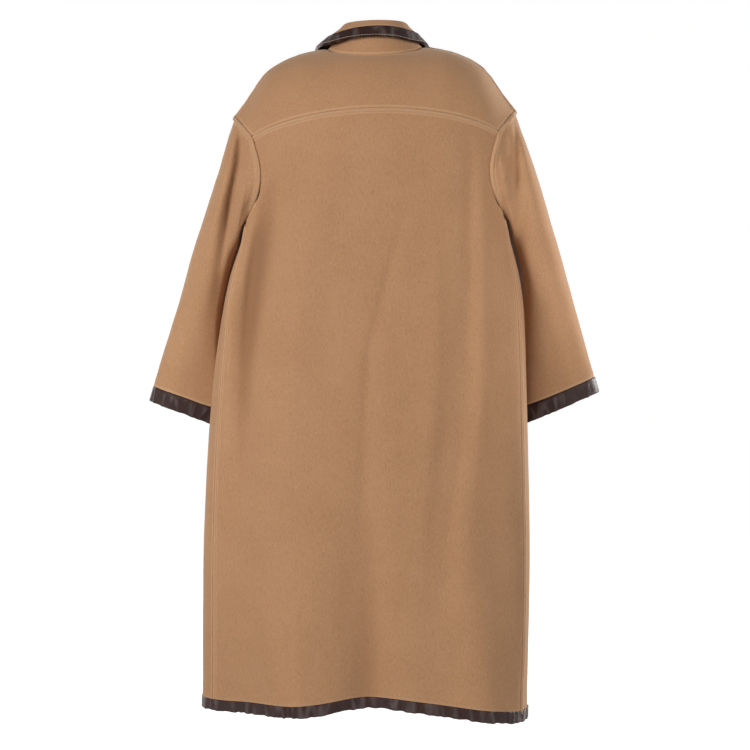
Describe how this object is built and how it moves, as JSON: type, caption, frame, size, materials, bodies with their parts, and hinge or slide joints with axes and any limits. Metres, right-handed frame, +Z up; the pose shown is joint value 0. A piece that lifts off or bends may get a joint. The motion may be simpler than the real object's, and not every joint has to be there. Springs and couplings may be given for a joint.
{
  "type": "long coat filled out with no wearer",
  "caption": "Long, loose wool coat with a turned-down collar and leather binding on collar, cuffs and hem, filled out and hollow, held up at the shoulders.",
  "frame": {"origin": "middle of the neck opening, level with the tops of the shoulders, where the wearer holds the coat up", "axes": "+Z up, the coat's front faces -Y, the coat's own left is +X"},
  "size_m": [0.8366, 0.2948, 1.2455],
  "materials": {
    "wool": "brushed camel wool, matte",
    "leather": "dark brown, soft sheen",
    "button": "dark horn, polished"
  },
  "bodies": {
    "root": {"back_panel": "wool", "back_yoke": "wool", "front_left": "wool", "front_right": "wool", "sleeve_left": "wool", "sleeve_right": "wool", "collar_stand": "wool", "collar_fall": "wool", "collar_binding": "leather", "cuff_binding_left": "leather", "cuff_binding_right": "leather", "hem_binding_back": "leather", "hem_binding_left": "leather", "hem_binding_right": "leather", "button_1": "button", "button_2": "button", "button_3": "button", "button_4": "button"}
  },
  "joints": []
}
